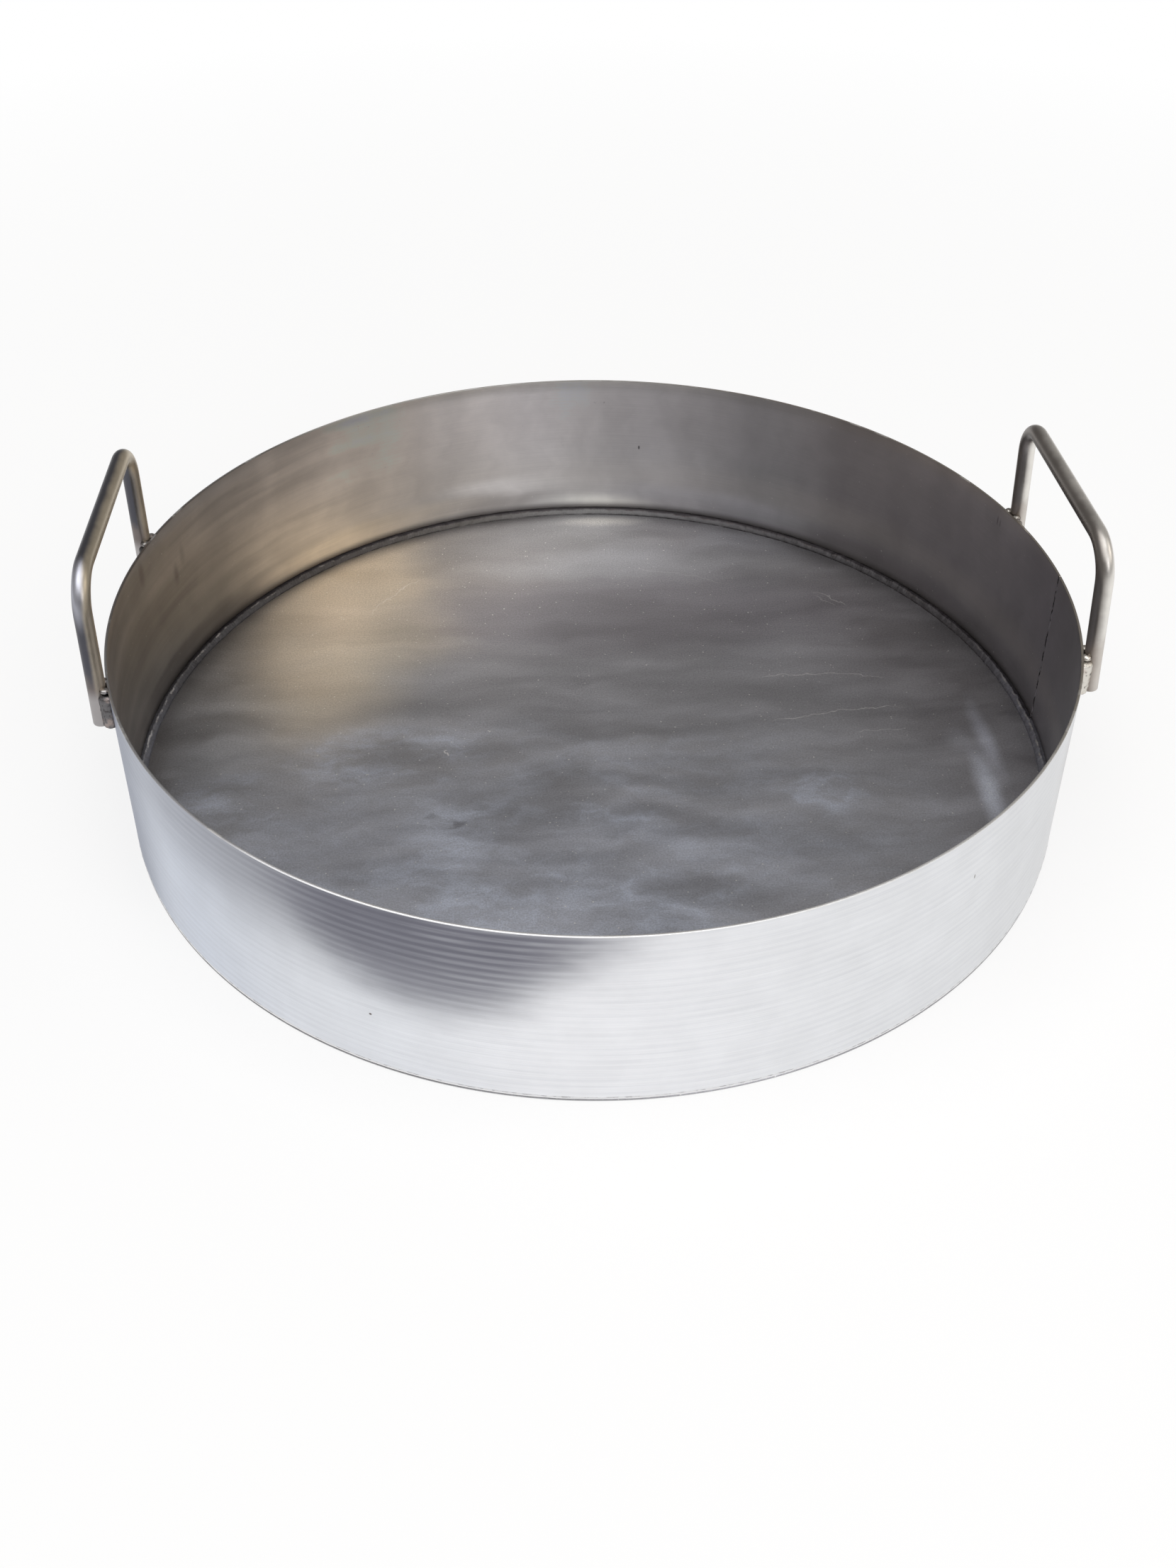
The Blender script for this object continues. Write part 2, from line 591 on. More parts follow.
inside_colour = ring_of_colours(tree, around["Turn"], [
    (0, (0.34, 0.32, 0.34)), (20, (0.36, 0.34, 0.35)), (45, (0.34, 0.32, 0.32)), (60, (0.40, 0.39, 0.39)),
    (76, (0.66, 0.64, 0.63)), (92, (0.80, 0.77, 0.74)), (108, (0.66, 0.62, 0.57)),
    (120, (0.90, 0.82, 0.72)), (136, (0.63, 0.57, 0.50)), (152, (0.42, 0.385, 0.345)),
    (170, (0.31, 0.29, 0.27)), (200, (0.30, 0.28, 0.27)), (270, (0.44, 0.42, 0.42)),
    (345, (0.36, 0.35, 0.36)),
])
inside_colour = paint_patches(tree, wavering, inside_colour, [
    ((176, 48), (22, 16), 0.7, 0.6, (0.29, 0.26, 0.23)),
    ((184, 14), (11, 9), 0.8, 0.6, (0.55, 0.50, 0.45)),
    ((124, 12), (16, 8), 0.5, 0.9, (0.92, 0.82, 0.68)),
    ((103, 12), (8, 5), 0.9, 0.55, (0.42, 0.39, 0.36)),
    ((98, 24), (9, 5), 0.8, 0.85, (0.95, 0.92, 0.88)),
    ((68, 14), (14, 9), 0.6, 0.6, (0.72, 0.71, 0.73)),
    ((87, 9.5), (7, 4.5), 0.8, 1.0, (1.0, 0.99, 0.94)),
])
inside_colour = paint_patches(tree, spread, inside_colour, [
    ((79.4, 47), (0.15, 1.2), 0.3, 0.8, (0.1, 0.09, 0.09)),
    ((84.8, 76), (0.1, 0.6), 0.3, 0.25, (0.12, 0.1, 0.1)),
    ((168.9, 80), (0.7, 6), 0.7, 0.5, (0.16, 0.14, 0.13)),
    ((160.1, 59), (0.5, 5), 0.8, 0.5, (0.16, 0.14, 0.13)),
    ((158.1, 66), (0.5, 5), 0.8, 0.35, (0.18, 0.16, 0.15)),
    ((17.7, 81.5), (0.12, 2.4), 0.5, 0.6, (0.12, 0.11, 0.11)),
    ((17.1, 81), (0.1, 2), 0.5, 0.5, (0.12, 0.11, 0.11)),
])
inside_colour = shade(tree, inside_colour, fade(tree, around["Height"], 0, 95, 0.90, 1.32))
upright = noise(tree, stretch(tree, wavering, (0.16, 0.018, 1)), 1.0, detail=4)
inside_colour = shade(tree, inside_colour, vary(tree, upright, 0.92, 1.07))
streaks = noise(tree, stretch(tree, wavering, (0.025, 0.085, 1)), 1.0, detail=3)
streaked = shade(tree, inside_colour, vary(tree, streaks, 0.84, 1.15))
on_left = band(tree, around["Turn"], 0.30, 0.38, 0.55, 0.62)
inside_colour = mix_colour(tree, on_left, inside_colour, streaked)
blurred_height = split(tree, wavering)[1]
in_light = band(tree, around["Turn"], 0.17, 0.21, 0.37, 0.41)
in_shade = maths(tree, "SUBTRACT", 1.0, in_light)
low_shade = maths(tree, "MULTIPLY", fade(tree, blurred_height, 23, 9, 0, 0.3), in_shade)
low_shade = maths(tree, "MULTIPLY", low_shade, fade(tree, around["Turn"], 0.44, 0.50, 1, 0.3))
inside_colour = mix_colour(tree, low_shade, inside_colour, low_brown)
low_glow = band(tree, blurred_height, 16, 28, 30, 44)
inside_colour = mix_colour(tree, maths(tree, "MULTIPLY", low_glow, 0.12), inside_colour, glow_tan)
foot_shade = maths(
    tree, "MULTIPLY", fade(tree, around["Height"], 10.2, 4.4),
    fade(tree, around["Turn"], 0.43, 0.50, 0.85, 0.45),
)
inside_colour = mix_colour(tree, foot_shade, inside_colour, foot_brown)
dusty = use_group(tree, dust, {
    "Place": stretch(tree, spread, (3.9, 1, 1)), "Spacing": 4.5,
})["Mask"]
inside_colour = mix_colour(tree, maths(tree, "MULTIPLY", dusty, 0.45), inside_colour, wall_dust)
mid_sheet = 1000 * (pan_radius - sheet_thickness / 2)
inside = fade(tree, around["Radius"], mid_sheet + 0.1, mid_sheet - 0.1)
colour = mix_colour(tree, inside, outside_colour, inside_colour)
mottle = noise(tree, place, 0.05, detail=5, roughness=0.6)
colour = shade(tree, colour, vary(tree, mottle, 0.975, 1.02))
rolling = noise(tree, stretch(tree, spread, (0.08, 3.2, 1)), 1.0, detail=4)
colour = shade(tree, colour, vary(tree, rolling, 0.96, 1.03))
on_rim = fade(tree, around["Height"], 1000 * rim_z - 0.45, 1000 * rim_z - 0.3)
rim_colour = ring_of_colours(tree, around["Turn"], [
    (0, (0.34, 0.31, 0.28)), (60, (0.36, 0.33, 0.31)), (80, (0.60, 0.58, 0.56)), (124, (0.74, 0.71, 0.67)),
    (140, (0.32, 0.30, 0.28)), (170, (0.20, 0.18, 0.17)), (205, (0.40, 0.40, 0.41)),
    (224, (0.46, 0.46, 0.48)), (233, (0.88, 0.88, 0.90)), (300, (0.90, 0.90, 0.90)),
    (340, (0.44, 0.41, 0.36)),
])
rim_wear = fade(tree, noise(tree, place, 0.07, detail=6), 0.55, 0.62, 0.0, 0.55)
rim_colour = mix_colour(tree, rim_wear, rim_colour, worn_rim)
colour = mix_colour(tree, on_rim, colour, rim_colour)
roughness = fade(tree, around["Radius"], mid_sheet + 0.1, mid_sheet - 0.1, 0.42, 0.36)
metal_surface(tree, colour, roughness, bump(tree, rolling, 0.3, 0.05))

bpy.ops.object.select_all(action="DESELECT")
bpy.ops.mesh.primitive_plane_add(
    size=1,
    location=(pan_radius - sheet_thickness / 2, 0, wall_foot_z + wall_height / 2),
    rotation=(radians(90), 0, 0),
)
bpy.context.object.scale = (sheet_thickness, wall_height, 1)
bpy.ops.object.transform_apply(location=True, rotation=True, scale=True)
wall = start_piece("wall_sheet")
outside = pan_radius - sheet_thickness / 4
select_where(wall, "EDGE", lambda e: all(v.co.x > outside for v in e.verts))
bpy.ops.mesh.subdivide(number_cuts=4 * ripple_count - 1)
step = wall_height / (4 * ripple_count)
select_where(
    wall, "VERT",
    lambda v: v.co.x > outside and round((v.co.z - wall_foot_z) / step) % 4 == 3
    and wall_foot_z + 6 * step < v.co.z < rim_z - 3 * step,
)
bpy.ops.transform.translate(value=(-ripple_depth, 0, 0))
select_where(wall, "VERT", lambda v: v.co.z > rim_z - 1e-5)
bpy.ops.mesh.bevel(offset=rim_ease, segments=2, affect="VERTICES")
select_where(wall, "EDGE", lambda e: all(v.co.x < pan_radius - sheet_thickness + 1e-6 for v in e.verts))
bpy.ops.mesh.subdivide(number_cuts=11)
bpy.ops.mesh.select_all(action="SELECT")
seam_turn = seam_opening / pan_radius
bpy.ops.mesh.spin(steps=wall_steps, angle=2 * pi - seam_turn, center=(0, 0, 0), axis=(0, 0, 1))
bpy.ops.object.mode_set(mode="OBJECT")
wall.rotation_euler.z = seam_angle - seam_turn / 2
wall.data.materials.append(wall_metal)
finish_piece(wall, stands_for=["wall_band"])


# ---- Groove weld outside ---------------------------------------------------------------------------------
# Filler in the bevelled groove between the wall's foot and the base plate, all round. It has been dressed
# back nearly flush with the wall, so it shows as a low pale band with an uneven upper edge.

groove_low, groove_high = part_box("groove_weld_outside")
groove_steps = 540
groove_half_width = 0.0006
groove_proud = 0.00015
dressed_steel = (0.84, 0.84, 0.85)
groove_toe_grey = (0.30, 0.29, 0.31)
groove_foot_violet = (0.28, 0.24, 0.30)

groove_metal = new_material("dressed_weld")
tree = groove_metal.node_tree
place = millimetres(tree)
around = use_group(tree, around_pan, {"Place": place})
uneven = noise(tree, place, 0.35, detail=5)
toe = maths(tree, "ADD", around["Height"], vary(tree, uneven, -0.35, 0.35))
colour = mix_colour(tree, fade(tree, toe, 2.05, 2.3, 0, 0.6), dressed_steel, groove_toe_grey)
colour = mix_colour(tree, fade(tree, around["Height"], 0.75, 0.5, 0, 0.8), colour, groove_foot_violet)
metal_surface(tree, colour, 0.42, bump(tree, uneven, 0.4, 0.1))

bpy.ops.object.select_all(action="DESELECT")
bpy.ops.mesh.primitive_circle_add(
    vertices=12, radius=1, fill_type="NOTHING", rotation=(radians(90), 0, 0),
    location=(pan_radius + groove_proud - groove_half_width, 0, (groove_low.z + groove_high.z) / 2),
)
bpy.context.object.scale = (groove_half_width, (groove_high.z - groove_low.z) / 2, 1)
bpy.ops.object.transform_apply(location=True, rotation=True, scale=True)
groove_bead = start_piece("groove_bead")
bpy.ops.mesh.spin(steps=groove_steps, angle=2 * pi, center=(0, 0, 0), axis=(0, 0, 1))
bpy.ops.mesh.remove_doubles(threshold=0.000002)
bpy.ops.mesh.normals_make_consistent(inside=False)
apply_modifier(
    groove_bead, "DISPLACE", texture=lumps("groove_lumps", 0.004), direction="NORMAL",
    mid_level=0.5, strength=0.00022,
)
groove_bead.data.materials.append(groove_metal)
finish_piece(groove_bead, stands_for=["groove_weld_outside"])


# ---- Corner weld inside ----------------------------------------------------------------------------------
# The fillet all round the inside corner, laid by hand in small overlapping crescents of filler. It is lumpy
# on the left, where the welder stopped and started, and smooth on the right.

corner_low, corner_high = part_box("corner_weld_inside")
inner_radius = pan_radius - sheet_thickness
fillet_leg = corner_high.z - corner_low.z
fillet_width = fillet_leg - 0.0002
fillet_height = fillet_leg - 0.0004
fillet_root = Vector((inner_radius + 0.0001, 0, base_thickness - 0.0001))
crescent_pitch = 0.0017
crescent_bow = 0.00035
crescent_height = 0.00004
left_crescent_height = 0.00005
crescents = round(2 * pi * pan_radius / crescent_pitch)
toe_black = (0.025, 0.022, 0.024)

corner_metal = new_material("corner_weld_metal")
tree = corner_metal.node_tree
place = millimetres(tree)
around = use_group(tree, around_pan, {"Place": place})
pits = noise(tree, place, 0.9, detail=5, roughness=0.65)
uneven = noise(tree, place, 0.14, detail=5, roughness=0.6)
colour = ring_of_colours(tree, around["Turn"], [
    (0, (0.19, 0.19, 0.22)), (22, (0.085, 0.08, 0.085)), (50, (0.065, 0.062, 0.065)),
    (72, (0.09, 0.087, 0.09)), (88, (0.13, 0.127, 0.127)), (108, (0.095, 0.088, 0.083)),
    (130, (0.08, 0.073, 0.07)), (160, (0.11, 0.108, 0.115)), (185, (0.25, 0.26, 0.30)),
    (270, (0.2, 0.2, 0.2)), (345, (0.28, 0.29, 0.33)),
])
inward = maths(tree, "ADD", around["Radius"], vary(tree, uneven, -0.3, 0.3))
ridge = band(tree, inward, 221.7, 222.1, 222.3, 222.7)
flecks = fade(tree, noise(tree, place, 0.16, detail=4), 0.48, 0.6, 0.1, 0.9)
ridge_colour = ring_of_colours(tree, around["Turn"], [
    (0, (0.32, 0.31, 0.31)), (30, (0.10, 0.09, 0.09)), (95, (0.08, 0.07, 0.07)), (140, (0.24, 0.22, 0.21)),
    (160, (0.42, 0.40, 0.39)), (180, (0.66, 0.66, 0.68)), (270, (0.5, 0.5, 0.5)), (345, (0.52, 0.49, 0.46)),
])
colour = mix_colour(tree, maths(tree, "MULTIPLY", ridge, flecks), colour, ridge_colour)
at_back = band(tree, around["Turn"], 0.08, 0.16, 0.40, 0.46)
toe_start = fade(tree, at_back, 0, 1, 222.4, 221.7)
toe_depth = fade(tree, around["Turn"], 0.43, 0.50, 0.93, 0.6)
dark_toe = fade(tree, inward, toe_start, 222.9, 0, toe_depth)
colour = mix_colour(tree, dark_toe, colour, toe_black)
colour = shade(tree, colour, fade(tree, pits, 0.3, 0.65, 0.8, 1.08))
metal_surface(tree, colour, vary(tree, pits, 0.4, 0.55), bump(tree, pits, 0.3, 0.12))

bpy.ops.object.select_all(action="DESELECT")
bpy.ops.mesh.primitive_plane_add(
    size=1, rotation=(radians(90), 0, 0),
    location=(fillet_root.x - fillet_width / 2, 0, fillet_root.z + fillet_height / 2),
)
bpy.context.object.scale = (fillet_width, fillet_height, 1)
bpy.ops.object.transform_apply(location=True, rotation=True, scale=True)
corner_bead = start_piece("corner_bead")
bpy.ops.mesh.delete(type="ONLY_FACE")
middle = (fillet_root.x - fillet_width / 2, fillet_root.z + fillet_height / 2)
select_where(corner_bead, "VERT", lambda v: v.co.x < middle[0] and v.co.z > middle[1])
bpy.ops.mesh.bevel(offset=fillet_height * 0.93, segments=6, profile=0.3, affect="VERTICES")
bpy.ops.mesh.select_all(action="SELECT")
bpy.ops.mesh.spin(steps=3 * crescents, angle=2 * pi, center=(0, 0, 0), axis=(0, 0, 1))
bpy.ops.mesh.select_all(action="SELECT")
bpy.ops.mesh.remove_doubles(threshold=0.000002)
bpy.ops.mesh.normals_make_consistent(inside=False)


def on_fillet_face(co):
    """True for the points of the face that shows, between its two toes."""
    return hypot(co.x, co.y) < fillet_root.x - 0.0002 and co.z > fillet_root.z + 0.0002


def ring_number(co, count):
    """Which of that many equal steps round the pan a point stands at."""
    return round((atan2(co.y, co.x) % (2 * pi)) / (2 * pi) * count) % count


for height, wanted in (
    (crescent_height, lambda co: True),
    (left_crescent_height, lambda co: co.x < -0.35 * pan_radius),
):
    select_where(
        corner_bead, "VERT",
        lambda v: on_fillet_face(v.co) and ring_number(v.co, 3 * crescents) % 3 == 0 and wanted(v.co),
    )
    bpy.ops.transform.shrink_fatten(value=height)
for off_root in (0.0010, 0.0017):
    select_where(
        corner_bead, "VERT",
        lambda v: on_fillet_face(v.co)
        and hypot(v.co.x, v.co.y) < fillet_root.x - off_root and v.co.z > fillet_root.z + off_root - 0.0004,
    )
    bpy.ops.transform.rotate(
        value=crescent_bow / pan_radius, orient_axis="Z", center_override=(0, 0, 0)
    )
apply_modifier(
    corner_bead, "DISPLACE", texture=lumps("corner_lumps", 0.0045), direction="NORMAL",
    mid_level=0.5, strength=0.0006,
    vertex_group=vertex_group(corner_bead, "face", on_fillet_face),
)
corner_bead.data.materials.append(corner_metal)
finish_piece(corner_bead, stands_for=["corner_weld_inside"], smooth=60)


# ---- Wall seam weld --------------------------------------------------------------------------------------
# The upright weld that closes the rolled strip. The bead runs through the joint, stands a little proud
# inside, wanders from side to side, and is dressed almost flush outside.

seam_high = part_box("wall_seam_weld")[1]
seam_half_width = 0.0011
seam_proud_inside = 0.00022
seam_proud_outside = 0.0002
seam_pitch = 0.0017
seam_swell = 1.07
seam_foot_z = base_thickness + fillet_height * 0.6
seam_top_z = seam_high.z - 0.0004
seam_rings = 2 * round((seam_top_z - seam_foot_z) / seam_pitch)
seam_greys = (0.28, 0.26, 0.28), (0.34, 0.32, 0.34)
undercut_black = (0.03, 0.027, 0.03)
dressed_seam = (0.72, 0.71, 0.69)

seam_metal = new_material("seam_weld_metal")
tree = seam_metal.node_tree
place = millimetres(tree)
parts = split(tree, place)
pits = noise(tree, place, 0.8, detail=5, roughness=0.65)
wander = vary(tree, noise(tree, place, 0.12, detail=6), -1.1, 1.1)
ragged = maths(tree, "ADD", parts[1], wander)
edge_y = 1000 * seam_angle * pan_radius
gape = vary(tree, noise(tree, place, 0.2, detail=3), -0.5, 0.3)
undercut = maths(
    tree, "MULTIPLY", fade(tree, ragged, edge_y, edge_y - 0.25),
    fade(tree, maths(tree, "ADD", ragged, gape), edge_y - 1.35, edge_y - 1.1),
)
colour = mix_colour(tree, fade(tree, pits, 0.3, 0.65), *seam_greys)
in_pan = fade(tree, parts[0], 224.4, 224.0)
colour = mix_colour(tree, maths(tree, "MULTIPLY", undercut, in_pan), colour, undercut_black)
colour = mix_colour(tree, maths(tree, "SUBTRACT", 1.0, in_pan), colour, dressed_seam)
metal_surface(tree, colour, 0.4, bump(tree, pits, 0.5, 0.2))

seam_depth = (sheet_thickness + seam_proud_inside + seam_proud_outside) / 2
bpy.ops.object.select_all(action="DESELECT")
bpy.ops.mesh.primitive_circle_add(
    vertices=20, radius=1, fill_type="NGON",
    location=(inner_radius - seam_proud_inside + seam_depth, 0, seam_foot_z),
)
bpy.context.object.scale = (seam_depth, seam_half_width, 1)
bpy.ops.object.transform_apply(location=True, rotation=True, scale=True)
seam_bead = start_piece("seam_bead")
for ring in range(seam_rings):
    bpy.ops.mesh.extrude_region_move(
        TRANSFORM_OT_translate={"value": (0, 0, (seam_top_z - seam_foot_z) / seam_rings)}
    )
    swell = seam_swell if ring % 2 else 1 / seam_swell
    bpy.ops.transform.resize(value=(swell, swell, 1))
bpy.ops.mesh.select_all(action="SELECT")
bpy.ops.mesh.normals_make_consistent(inside=False)
for direction, size, strength in (("Y", 0.009, 0.0011), ("NORMAL", 0.0016, 0.00018)):
    apply_modifier(
        seam_bead, "DISPLACE", texture=lumps("seam_lumps", size), direction=direction,
        mid_level=0.5, strength=strength,
    )
seam_bead.rotation_euler.z = seam_angle
seam_bead.data.materials.append(seam_metal)
finish_piece(seam_bead, stands_for=["wall_seam_weld"], smooth=60)


# ---- Handle bars -----------------------------------------------------------------------------------------
# Each handle is 8 mm stainless bar, bent cold over a former at its two top corners and sawn square at its
# ends. Its legs stand against the outside of the wall, and it leans in over the pan, the right one more
# than the left.

bar_radius = 0.004
leg_spacing = 0.123
grip_spacing = 0.120
grip_height = 0.053
bend_radius = 0.017
leg_overlap = 0.019
fit_gap = 0.0003
bar_sides = 40
saw_bevel = 0.0004
handle_tilts = {"right": radians(2.8), "left": radians(0.8)}
handle_turns = {"right": 0, "left": pi}
leg_distance = sqrt((pan_radius + fit_gap + bar_radius) ** 2 - (leg_spacing / 2) ** 2)
leg_lean = atan2((leg_spacing - grip_spacing) / 2, grip_height)
shaded_bars = {"left": (0.09, 0.09, 0.105), "right": (0.22, 0.20, 0.185)}
sunned_bars = {"left": (0.56, 0.49, 0.38), "right": (0.82, 0.795, 0.75)}
bend_shine = (0.78, 0.79, 0.88)
leg_grey = (0.47, 0.48, 0.51)
heat_brown = (0.34, 0.28, 0.24)

bar_metal = new_material("drawn_bar")
tree = bar_metal.node_tree
place = millimetres(tree)
mottle = noise(tree, place, 0.05, detail=5, roughness=0.6)
grain = noise(tree, place, 2.2, detail=3)
parts = split(tree, place)
on_right = fade(tree, parts[0], -1, 1)
lean = fade(tree, on_right, 0, 1, -tan(handle_tilts["left"]), tan(handle_tilts["right"]))
middle = maths(
    tree, "SUBTRACT", fade(tree, on_right, 0, 1, -1000 * leg_distance, 1000 * leg_distance),
    maths(tree, "MULTIPLY", lean, maths(tree, "SUBTRACT", parts[2], 1000 * rim_z)),
)
off_middle = maths(
    tree, "MULTIPLY", maths(tree, "SUBTRACT", parts[0], middle), fade(tree, on_right, 0, 1, 1.5, 1)
)
off_middle = maths(tree, "ADD", off_middle, fade(tree, on_right, 0, 1, -2.0, 0))
warm_side = fade(tree, maths(tree, "ADD", off_middle, vary(tree, mottle, -0.4, 0.4)), -2.6, 2.4)
shaded = mix_colour(tree, on_right, shaded_bars["left"], shaded_bars["right"])
sunned = mix_colour(tree, on_right, sunned_bars["left"], sunned_bars["right"])
colour = mix_colour(tree, warm_side, shaded, sunned)
worn_bend = use_group(tree, soft_patch, {
    "Place": place, "Centre": (-221.5, -57, 138), "Reach": (2.2, 9, 13), "Softness": 0.8,
})["Mask"]
colour = mix_colour(tree, maths(tree, "MULTIPLY", worn_bend, 0.8), colour, bend_shine)
colour = shade(tree, colour, vary(tree, mottle, 0.94, 1.06))
below_rim = maths(tree, "MULTIPLY", fade(tree, parts[2], 92, 84, 0, 0.85), fade(tree, parts[0], 1, -1))
colour = mix_colour(tree, below_rim, colour, leg_grey)
heat = fade(tree, maths(tree, "ADD", parts[2], vary(tree, mottle, -4, 4)), 102, 92)
colour = mix_colour(tree, maths(tree, "MULTIPLY", heat, 0.4), colour, heat_brown)
metal_surface(tree, colour, vary(tree, mottle, 0.36, 0.44), bump(tree, grain, 0.2, 0.04))


def handle_bar(side):
    """One bent bar, modelled upright with its origin at the rim's height, then set against the wall."""
    foot_y = -(leg_spacing / 2 + leg_overlap * tan(leg_lean))
    bend_y = grip_spacing / 2 - bend_radius * tan((pi / 2 - leg_lean) / 2)
    bend_z = grip_height - bend_radius
    shoulder = Vector((0, -bend_y - bend_radius * cos(leg_lean), bend_z + bend_radius * sin(leg_lean)))
    foot = Vector((0, foot_y, -leg_overlap))
    leg_steps, bend_steps, grip_steps = 8, 14, 9

    bpy.ops.object.select_all(action="DESELECT")
    bpy.ops.mesh.primitive_circle_add(
        vertices=bar_sides, radius=bar_radius, fill_type="NGON", location=foot, rotation=(-leg_lean, 0, 0)
    )
    bpy.ops.object.transform_apply(location=True, rotation=True, scale=True)
    bar = start_piece(f"{side}_handle")
    for _ in range(leg_steps):
        bpy.ops.mesh.extrude_region_move(
            TRANSFORM_OT_translate={"value": (shoulder - foot) / leg_steps}
        )
    turn = pi / 2 - leg_lean
    bpy.ops.mesh.spin(steps=bend_steps, angle=turn, center=(0, -bend_y, bend_z), axis=(1, 0, 0))
    for _ in range(grip_steps):
        bpy.ops.mesh.extrude_region_move(
            TRANSFORM_OT_translate={"value": (0, 2 * bend_y / grip_steps, 0)}
        )
    bpy.ops.mesh.spin(steps=bend_steps, angle=turn, center=(0, bend_y, bend_z), axis=(1, 0, 0))
    down = Vector((0, foot.y - shoulder.y, shoulder.z - foot.z)) * -1
    for _ in range(leg_steps):
        bpy.ops.mesh.extrude_region_move(TRANSFORM_OT_translate={"value": down / leg_steps})
    bpy.ops.mesh.select_all(action="SELECT")
    bpy.ops.mesh.normals_make_consistent(inside=False)
    select_where(bar, "EDGE", lambda e: all(v.co.z < -leg_overlap + saw_bevel / 2 for v in e.verts))
    bpy.ops.mesh.bevel(offset=saw_bevel, segments=2, profile=0.5)
    bpy.ops.object.mode_set(mode="OBJECT")
    place_on_rim(bar, side)
    return bar


def place_on_rim(piece, side):
    """Sets a piece modelled about the middle of a handle on that side of the rim."""
    turn = handle_turns[side]
    piece.location = (leg_distance * cos(turn), 0, rim_z)
    piece.rotation_euler = (0, -handle_tilts[side], turn)


for side in ("right", "left"):
    bar = handle_bar(side)
    bar.data.materials.append(bar_metal)
    finish_piece(bar, stands_for=[f"{side}_handle_bar"], smooth=40)


# ---- Leg welds -------------------------------------------------------------------------------------------
# Each leg is welded to the wall down both of its sides, in a fillet of crescents that climb from the wall to
# the bar. The welder worked upwards, so each crescent laps over the one below it.

leg_weld_half_width = 0.0030
leg_weld_half_depth = 0.0018
leg_weld_pitch = 0.0026
leg_weld_slant = radians(25)
leg_weld_swell = 1.2
toe_from_leg = 0.0076
brow_from_leg = 0.0042
leg_weld_sink = 0.0006
pit_black = (0.07, 0.06, 0.06)
heat_pink = (0.58, 0.47, 0.43)

leg_weld_metal = new_material("leg_weld_metal")
tree = leg_weld_metal.node_tree
place = millimetres(tree)
around = use_group(tree, around_pan, {"Place": place})
pits = noise(tree, place, 0.6, detail=5, roughness=0.6)
blush = noise(tree, place, 0.2, detail=2)
colour = ring_of_colours(tree, around["Turn"], [
    (0, (0.46, 0.44, 0.41)), (16, (0.44, 0.42, 0.40)), (90, (0.34, 0.33, 0.32)), (164, (0.15, 0.145, 0.145)),
    (196, (0.16, 0.155, 0.16)), (270, (0.40, 0.39, 0.38)), (344, (0.74, 0.71, 0.65)),
])
colour = mix_colour(tree, fade(tree, pits, 0.46, 0.34, 0, 0.75), colour, pit_black)
colour = mix_colour(tree, fade(tree, blush, 0.5, 0.66, 0, 0.45), colour, heat_pink)
metal_surface(tree, colour, vary(tree, pits, 0.55, 0.4), bump(tree, pits, 0.5, 0.25))

leg_angle = asin(leg_spacing / 2 / (pan_radius + fit_gap + bar_radius))
weld_places = [(end, side_of_leg) for end in (-1, 1) for side_of_leg in (-1, 1)]


def leg_weld_name(side, end, side_of_leg):
    """The CAD's name for a leg's welds: front is towards -Y, and outer is away from the grip."""
    front = (end < 0) == (side == "right")
    return f"{side}_handle_{'front' if front else 'back'}_leg_{'outer' if end == side_of_leg else 'inner'}"


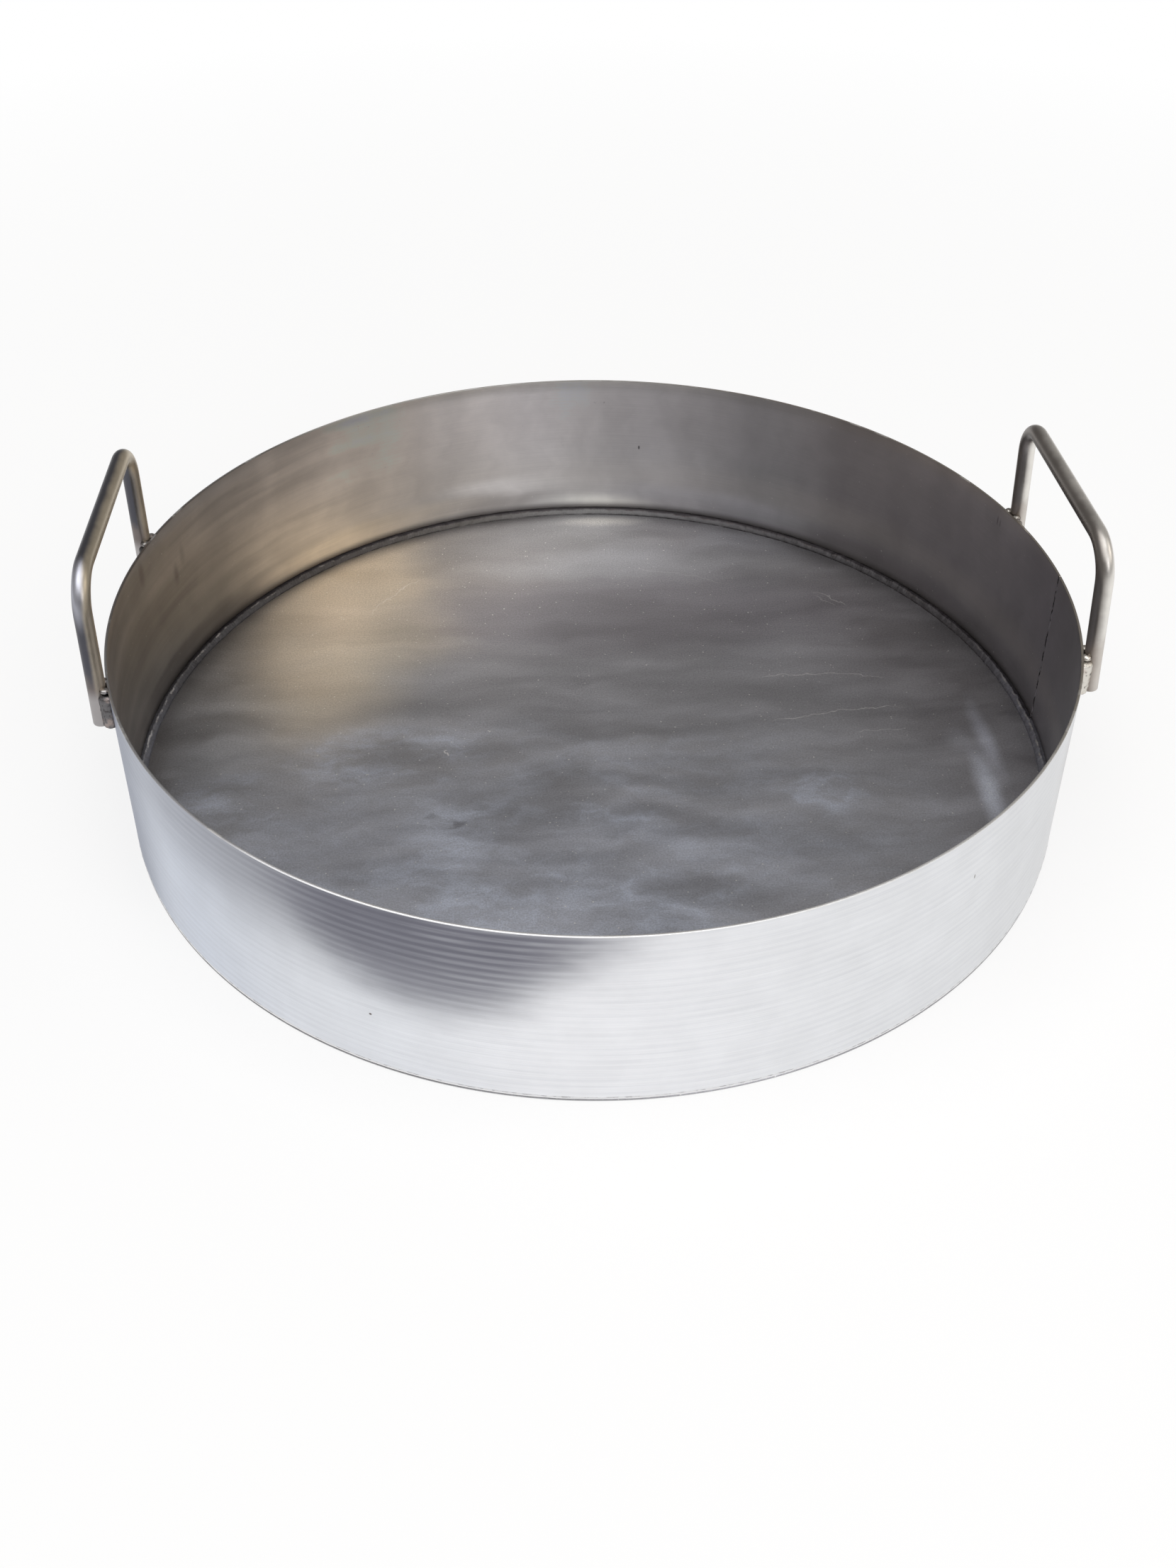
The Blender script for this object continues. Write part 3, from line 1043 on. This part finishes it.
for side in ("right", "left"):
    for end, side_of_leg in weld_places:
        node = leg_weld_name(side, end, side_of_leg)
        low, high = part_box(node + "_weld")
        rings = 2 * round((high.z - low.z) / leg_weld_pitch)
        # Across the valley: from its toe on the wall to its brow on the bar.
        toe = Vector((pan_radius - 0.0001, side_of_leg * toe_from_leg, 0))
        brow = Vector((pan_radius + fit_gap + bar_radius - 0.0006, side_of_leg * brow_from_leg, 0))
        heading = atan2(brow.y - toe.y, brow.x - toe.x)
        centre = (toe + brow) / 2 - Vector((0, side_of_leg * leg_weld_sink, 0))
        turn = handle_turns[side] + end * leg_angle
        bpy.ops.object.select_all(action="DESELECT")
        bpy.ops.mesh.primitive_circle_add(vertices=16, radius=1, fill_type="NGON")
        bpy.context.object.scale = (leg_weld_half_width, leg_weld_half_depth, 1)
        bpy.ops.object.transform_apply(location=False, rotation=False, scale=True)
        bead = start_piece(node + "_bead")
        bpy.ops.transform.resize(value=(0.8, 0.8, 1))
        bpy.ops.transform.rotate(value=side_of_leg * leg_weld_slant, orient_axis="X")
        step_up = (high.z - low.z) / rings
        for ring in range(rings):
            bpy.ops.mesh.extrude_region_move(TRANSFORM_OT_translate={"value": (0, 0, step_up)})
            if ring == 0:
                bpy.ops.transform.resize(value=(1.25, 1.25, 1))
            swell = leg_weld_swell if ring % 2 == 0 else 1 / leg_weld_swell
            bpy.ops.transform.resize(value=(swell, swell, 1))
        bpy.ops.object.mode_set(mode="OBJECT")
        bead.rotation_euler.z = turn + heading
        spot = Matrix.Rotation(turn, 4, "Z") @ centre
        bead.location = (spot.x, spot.y, low.z)
        bpy.ops.object.transform_apply(location=True, rotation=True, scale=True)
        apply_modifier(bead, "SUBSURF", levels=1, render_levels=1)
        apply_modifier(
            bead, "DISPLACE", texture=lumps("leg_weld_lumps", 0.0022), direction="NORMAL",
            mid_level=0.5, strength=0.0005,
        )
        bead.data.materials.append(leg_weld_metal)
        finish_piece(bead, stands_for=[node + "_weld"], smooth=70)


# ---- Rim tacks -------------------------------------------------------------------------------------------
# A bright rounded blob of filler at the top of each leg weld, where the bar was first tacked to the rim
# before it was welded down.

tack_size = Vector((0.0021, 0.0021, 0.0014))
tack_off_wall = 0.0012
tack_from_leg = 0.0037
tack_drop = 0.0004
soot_brown = (0.14, 0.12, 0.11)

tack_metal = new_material("tack_metal")
tree = tack_metal.node_tree
place = millimetres(tree)
soot = noise(tree, place, 0.5, detail=4)
around = use_group(tree, around_pan, {"Place": place})
bright = ring_of_colours(tree, around["Turn"], [
    (0, (0.40, 0.38, 0.35)), (90, (0.34, 0.33, 0.31)), (164, (0.30, 0.29, 0.28)), (196, (0.34, 0.33, 0.33)),
    (344, (0.62, 0.59, 0.54)),
])
colour = mix_colour(tree, fade(tree, soot, 0.45, 0.65), bright, soot_brown)
metal_surface(tree, colour, vary(tree, soot, 0.26, 0.42), bump(tree, soot, 0.4, 0.3))

for side in ("right", "left"):
    for end, side_of_leg in weld_places:
        node = leg_weld_name(side, end, side_of_leg)
        low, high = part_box(node + "_rim_tack")
        turn = handle_turns[side] + end * leg_angle
        spot = Matrix.Rotation(turn, 4, "Z") @ Vector(
            (pan_radius + tack_off_wall, side_of_leg * tack_from_leg, (low.z + high.z) / 2 - tack_drop)
        )
        bpy.ops.object.select_all(action="DESELECT")
        bpy.ops.mesh.primitive_uv_sphere_add(
            segments=24, ring_count=14, radius=1, location=spot, rotation=(0, 0, turn),
        )
        bpy.context.object.scale = tack_size
        bpy.ops.object.transform_apply(location=True, rotation=True, scale=True)
        tack = start_piece(node + "_tack")
        apply_modifier(
            tack, "DISPLACE", texture=lumps("tack_lumps", 0.003), direction="NORMAL",
            mid_level=0.5, strength=0.0007,
        )
        tack.data.materials.append(tack_metal)
        finish_piece(tack, stands_for=[node + "_rim_tack"], smooth=80)
